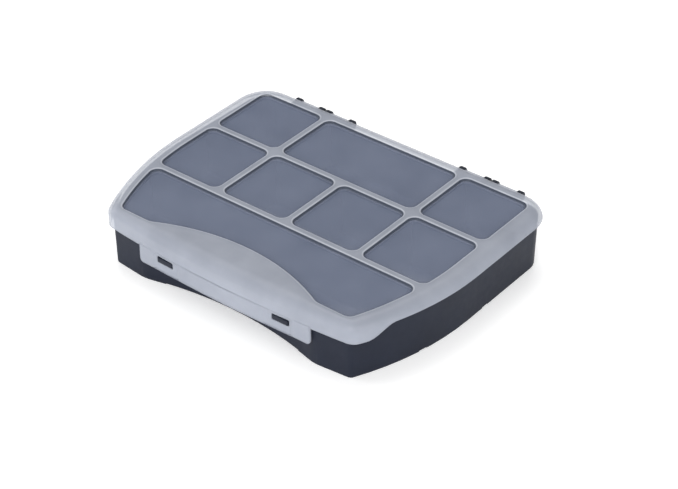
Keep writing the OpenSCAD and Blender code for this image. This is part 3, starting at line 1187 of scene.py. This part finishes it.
    def skirt_bottom(self, point: Vector) -> float:
        """Height of the skirt's lower edge at a point of the outline."""
        if self.over_flap(point):
            return self.flap_top
        rise = smooth_step(self.rise_start, self.rise_end, point.y)
        return self.front_skirt + (self.side_skirt - self.front_skirt) * rise

    def frame(self) -> None:
        """Rim, skirt, shield and ridges as one closed sheet with openings for the panels."""
        outline = self.outline()
        widths = self.shoulder_widths(outline)
        bottoms = [self.skirt_bottom(p) for p in outline.points]
        top = self.layout.top
        shell = Shell()
        turns = [math.radians(self.shoulder_arc(p)) for p in outline.points]
        outer = [shell.ring(outline.inset([w + 0.5 for w in widths]), top)]
        steps = 12
        for i in range(steps + 1):
            share = i / steps
            pairs = list(zip(widths, turns, strict=True))
            inset = [w * (1 - math.sin(t * share) / math.sin(t)) for w, t in pairs]
            levels = [self.shoulder_level(top, t, share) for t in turns]
            outer.append(shell.ring(outline.inset(inset), levels))
        edges = [0.0 if self.over_flap(p) else self.skirt_edge_r for p in outline.points]
        ends = [b + e for b, e in zip(bottoms, edges, strict=True)]
        skirt = []
        for share in (0.25, 0.5, 0.75, 1.0):
            levels = [self.shoulder_end + share * (z - self.shoulder_end) for z in ends]
            skirt.append(([0.0] * len(ends), levels))
        for turn in (45, 90):
            t = math.radians(turn)
            levels = [z - e * math.sin(t) for z, e in zip(ends, edges, strict=True)]
            skirt.append(([e * (1 - math.cos(t)) for e in edges], levels))
        outer += [shell.ring(outline.inset(inset), levels) for inset, levels in skirt]
        for inset, levels in reversed(skirt):
            outer.append(shell.ring(outline.inset([self.sheet - d for d in inset]), levels))
        under = top - self.sheet
        for i in range(8, -1, -1):
            share = i / 8
            pairs = list(zip(widths, turns, strict=True))
            inset = [w - (w - self.sheet) * math.sin(t * share) / math.sin(t) for w, t in pairs]
            levels = [self.shoulder_level(under, t, share) for t in turns]
            outer.append(shell.ring(outline.inset(inset), levels))
        shell.bridge(outer)
        tops, unders = [], []
        r = self.ridge_edge_r
        root = 0.4
        for hole in self.holes.values():
            levels = [(-r - 0.3, top)]
            levels += [(-s, top - c) for s, c in quarter(r, 5)]
            levels += [(0.1 + c, self.panel_top + 0.02 + s) for s, c in quarter(root, 3)]
            levels += [(0.5, self.panel_bottom), (-1.2, self.panel_bottom), (-1.2, under)]
            rings = [shell.ring(hole.inset(inset), z) for inset, z in levels]
            # The flat strip and upper fillet around each panel get a painted highlight; the lower
            # fillet, wall and root get painted shade
            shell.bridge(rings, [*[RIDGE_EDGE_HIGHLIGHT] * 4, *[RIDGE_WALL_SHADE] * 6])
            tops.append(rings[0])
            unders.append(rings[-1])
        shell.fill(outer[0], tops)
        shell.fill(outer[-1], unders)
        piece = self.palette.dress(shell.build("lid_frame"), Finish.FROSTED, True)
        self.open_seam(piece)
        ridges = ["rear_long_ridge", "front_long_ridge", "rear_ridge_left", "rear_ridge_right"]
        ridges += [f"middle_ridge_{place}" for place in ("left", "centre", "right")]
        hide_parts("lid_rim", *ridges)
        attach(piece, "lid")

    def open_seam(self, piece: bpy.types.Object) -> None:
        """Clears the faces where the flap and the skirt, which are one sheet, meet."""
        mesh = piece.data
        keys = set()
        for face in mesh.polygons:
            if abs(face.center.z / MM - self.flap_top) < 0.02 and abs(face.normal.z) > 0.9:
                face.material_index = SEAM
                keys.update(face.edge_keys)
        for edge in mesh.edges:
            edge.use_edge_sharp = edge.key in keys
        piece.modifiers["even_normals"].keep_sharp = True

    def panels(self) -> None:
        """Clear panels, one over each compartment."""
        for name, hole in self.holes.items():
            shell = Shell()
            levels = [(self.panel_bottom, 0.75), (self.panel_bottom + 0.2, 0.53)]
            levels += [(self.panel_top, 0.53)]
            add_plate(shell, hole, levels)
            piece = self.palette.dress(shell.build(f"{name}_sheet"), Finish.CLEAR)
            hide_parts(name)
            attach(piece, "lid")

    def relief(self, x: float, z: float) -> float:
        """How far the flap's outer face lies behind the skirt's."""
        reach = abs(x)
        near, far = self.pocket_span
        pocket = smooth_step(near, near + self.pocket_side, reach)
        pocket *= 1 - smooth_step(far, far + self.pocket_side, reach)
        below = 1 - smooth_step(*self.pocket_top, z)
        return self.pocket_depth * pocket * below

    def flap(self) -> None:
        """Flap that runs on down from the skirt, with a window for each tab."""
        lay = self.layout
        half = self.flap_half_w
        outline = Outline.box(
            (-half, self.flap_bottom), (half, self.flap_top), (self.flap_corner_r, 0)
        )
        windows = []
        for side in (-1, 1):
            x = side * lay.window_x
            w = lay.window_w / 2
            radii = (self.window_corner_r, self.window_corner_r)
            low, high = (x - w, lay.window_low), (x + w, lay.window_high)
            windows.append(Outline.box(low, high, radii, 5))
        shell = Shell()
        edge = 0.35
        add_plate(shell, outline, edge_levels(0, self.sheet, edge), windows, 1.0)

        def place(u: float, v: float, w: float) -> Vector:
            """Wraps the flap on the bowed front, with a square upper edge at the skirt."""
            depth = max(edge - min(w, self.sheet - w), 0.0)
            lost = edge - math.sqrt(max(edge * edge - depth * depth, 0.0))
            near_top = max(v - self.flap_top + 1.5, 0.0) / (1.5 - lost)
            share = 1 - w / self.sheet
            y = lay.front_face(u) + w + self.relief(u, v) * share
            return Vector((u, y, v + near_top * lost))

        sheet = shell.build("latch_flap_sheet", place)
        piece = self.palette.dress(sheet, Finish.FROSTED, True)
        self.open_seam(piece)
        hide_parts("latch_flap")
        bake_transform(piece)

    def arms(self) -> None:
        """Four arms, each with a barrel and a stub pin at both ends."""
        lay = self.layout
        pivot = Vector((lay.pivot_y, lay.pivot_z))
        points = [Vector((lay.rear_y - 1.0, 37.2)), *arc(pivot, self.barrel_r, 185, 450, 24)]
        points.append(Vector((lay.rear_y - 2.0, 39.0)))
        outline = Outline(tuple(points))
        ears = lay.ear_xs
        width = ears[1] - ears[0] - lay.ear_t - self.arm_play
        middles = sorted(s * (ears[i] + ears[i + 1]) / 2 for s in (-1, 1) for i in (0, 2))
        pin = Outline.circle((lay.pivot_y, lay.pivot_z), self.pin_r, 28)
        for number, x in enumerate(middles, 1):
            shell = Shell()
            add_plate(shell, outline, edge_levels(x - width / 2, x + width / 2, 0.4))
            reach = width / 2 + self.pin_l
            add_plate(shell, pin, edge_levels(x - reach, x + reach, 0.4))
            piece = shell.build(f"hinge_arm_{number}_tongue", Plane.SIDE.place)
            self.palette.dress(piece, Finish.FROSTED)
            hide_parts(f"hinge_arm_{number}")
            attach(piece, "lid")

    def build(self) -> None:
        """Makes every piece of the lid."""
        self.cut_holes()
        self.frame()
        self.panels()
        self.flap()
        self.arms()


# ---------------------------------------------------------------- studio


@dataclass(frozen=True)
class Softbox:
    """A rectangular area light that faces a point."""

    name: str
    place: Colour
    size: tuple[float, float]
    power: float
    target: Colour = (0.0, 0.0, 0.02)

    def build(self) -> None:
        """Adds the light."""
        light = bpy.data.lights.new(self.name, "AREA")
        light.shape = "RECTANGLE"
        light.size, light.size_y = self.size
        light.energy = self.power
        lamp = bpy.data.objects.new(self.name, light)
        bpy.context.scene.collection.objects.link(lamp)
        lamp.location = self.place
        aim = Vector(self.target) - Vector(self.place)
        lamp.rotation_euler = aim.to_track_quat("-Z", "Y").to_euler()


@dataclass(frozen=True)
class Studio:
    """Pale floor, soft light from all round, and the camera."""

    sky: float = 0.5
    floor_half: float = 6.0
    lens: float = 106.42
    sensor: float = 36.0
    camera_place: Colour = (0.6736, -0.8289, 0.7741)
    tilt: float = 54.28
    turn: float = 38.38

    def floor(self) -> None:
        """A wide pale floor."""
        shell = Shell()
        half = self.floor_half / MM
        square = [(-half, -half, 0), (half, -half, 0), (half, half, 0), (-half, half, 0)]
        ring = shell.ring(Outline.rounded(square).points, -0.02)
        shell.faces.append(tuple(ring))
        plane = shell.build("studio_floor")
        graph = Graph("pale_floor")
        tone = graph.noise(900, 2)
        graph.drive("Base Color", graph.blend(tone, (0.93, 0.93, 0.93), (0.95, 0.95, 0.95)))
        graph.fix(Roughness=0.9, Specular_IOR_Level=0.2, Emission_Strength=0.3)
        graph.shader.inputs["Emission Color"].default_value = (1.0, 1.0, 1.0, 1)
        plane.data.materials.append(graph.material)

    def world(self) -> None:
        """Even white surroundings."""
        world = bpy.data.worlds.new("studio_world")
        world.use_nodes = True
        back = world.node_tree.nodes["Background"]
        back.inputs["Color"].default_value = (1.0, 1.0, 1.0, 1)
        back.inputs["Strength"].default_value = self.sky
        bpy.context.scene.world = world
        bpy.context.scene.view_settings.view_transform = "Standard"

    def lights(self) -> None:
        """A wide box overhead, one at each side and one in front."""
        Softbox("overhead_box", (-0.5, 0.6, 1.8), (1.2, 1.2), 13.5).build()
        Softbox("right_box", (1.8, -0.3, 0.7), (1.0, 1.0), 8.0).build()
        Softbox("left_box", (-1.7, -0.7, 0.9), (1.0, 1.0), 8.0).build()
        Softbox("front_box", (0.5, -1.9, 0.8), (1.6, 0.9), 24.0).build()

    def camera(self) -> None:
        """The camera at the viewing angle."""
        data = bpy.data.cameras.new("camera")
        data.lens = self.lens
        data.sensor_width = self.sensor
        camera = bpy.data.objects.new("camera", data)
        bpy.context.scene.collection.objects.link(camera)
        camera.location = self.camera_place
        camera.rotation_euler = (math.radians(self.tilt), 0, math.radians(self.turn))
        bpy.context.scene.camera = camera

    def build(self) -> None:
        """Sets everything up."""
        self.floor()
        self.world()
        self.lights()
        self.camera()


def main() -> None:
    """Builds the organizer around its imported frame."""
    logging.basicConfig(level=logging.INFO, format="%(message)s")
    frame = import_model()
    layout = Layout()
    palette = Palette()
    Studio().build()
    Tray(layout, palette).build(frame["nodes"])
    Lid(layout, palette).build()


if __name__ == "__main__":
    main()
